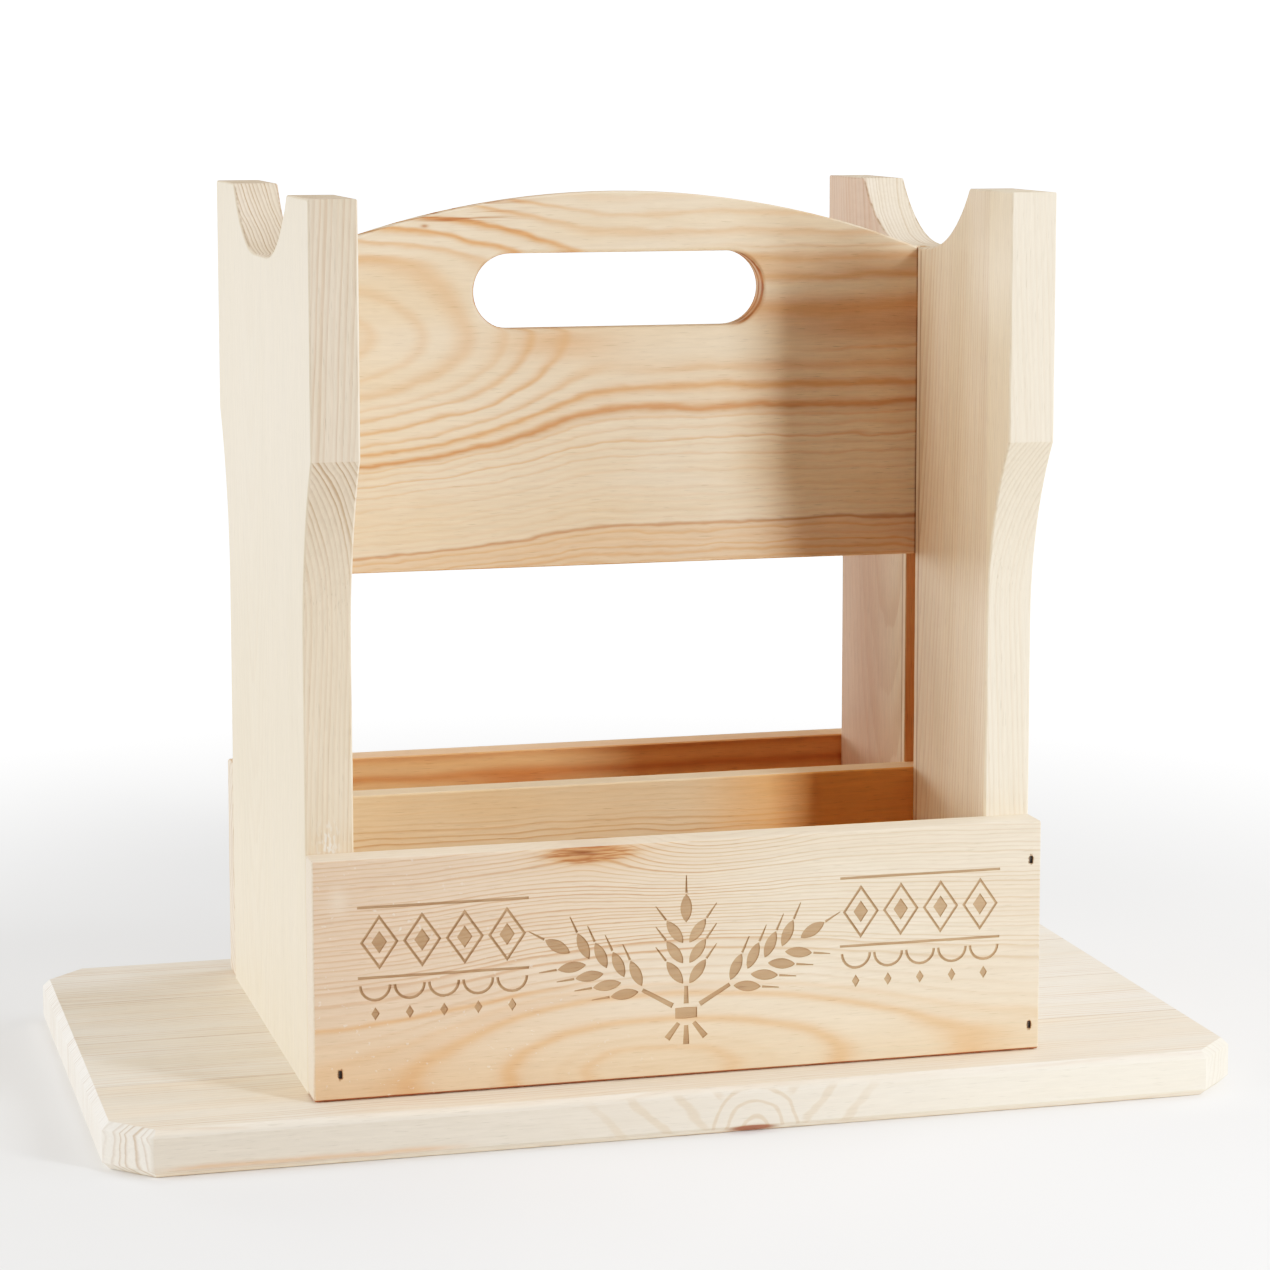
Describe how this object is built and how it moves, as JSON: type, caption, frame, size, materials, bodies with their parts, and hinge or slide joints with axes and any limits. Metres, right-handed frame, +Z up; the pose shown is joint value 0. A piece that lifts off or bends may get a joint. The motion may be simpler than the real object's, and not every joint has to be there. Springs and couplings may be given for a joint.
{
  "type": "bottle caddy",
  "caption": "Pine bottle carrier with an arched hand-slot panel, bottle bays behind low rails, and a wide base board that serves as a stool seat when it is turned over.",
  "frame": {"origin": "middle of the base board's underside", "axes": "+X along the carrier to the right seen from the front, +Y to the back, +Z up"},
  "size_m": [0.45, 0.252, 0.357],
  "materials": {
    "pine": "bare sanded pine, pale cream with fine growth lines",
    "honey_pine": "bare sanded pine, honey coloured with orange latewood bands",
    "steel": "plain bright wire",
    "beech": "fluted beech, glued in"
  },
  "bodies": {
    "root": {"base_stave_front": "pine", "base_stave_mid_front": "pine", "base_stave_mid_back": "pine", "base_stave_back": "pine", "left_side_panel": "pine", "right_side_panel": "pine", "handle_panel": "honey_pine", "center_divider": "honey_pine", "front_rail": "pine", "back_rail": "honey_pine", "front_rail_brads": "steel", "back_rail_brads": "steel", "left_panel_dowels": "beech", "right_panel_dowels": "beech"}
  },
  "joints": []
}
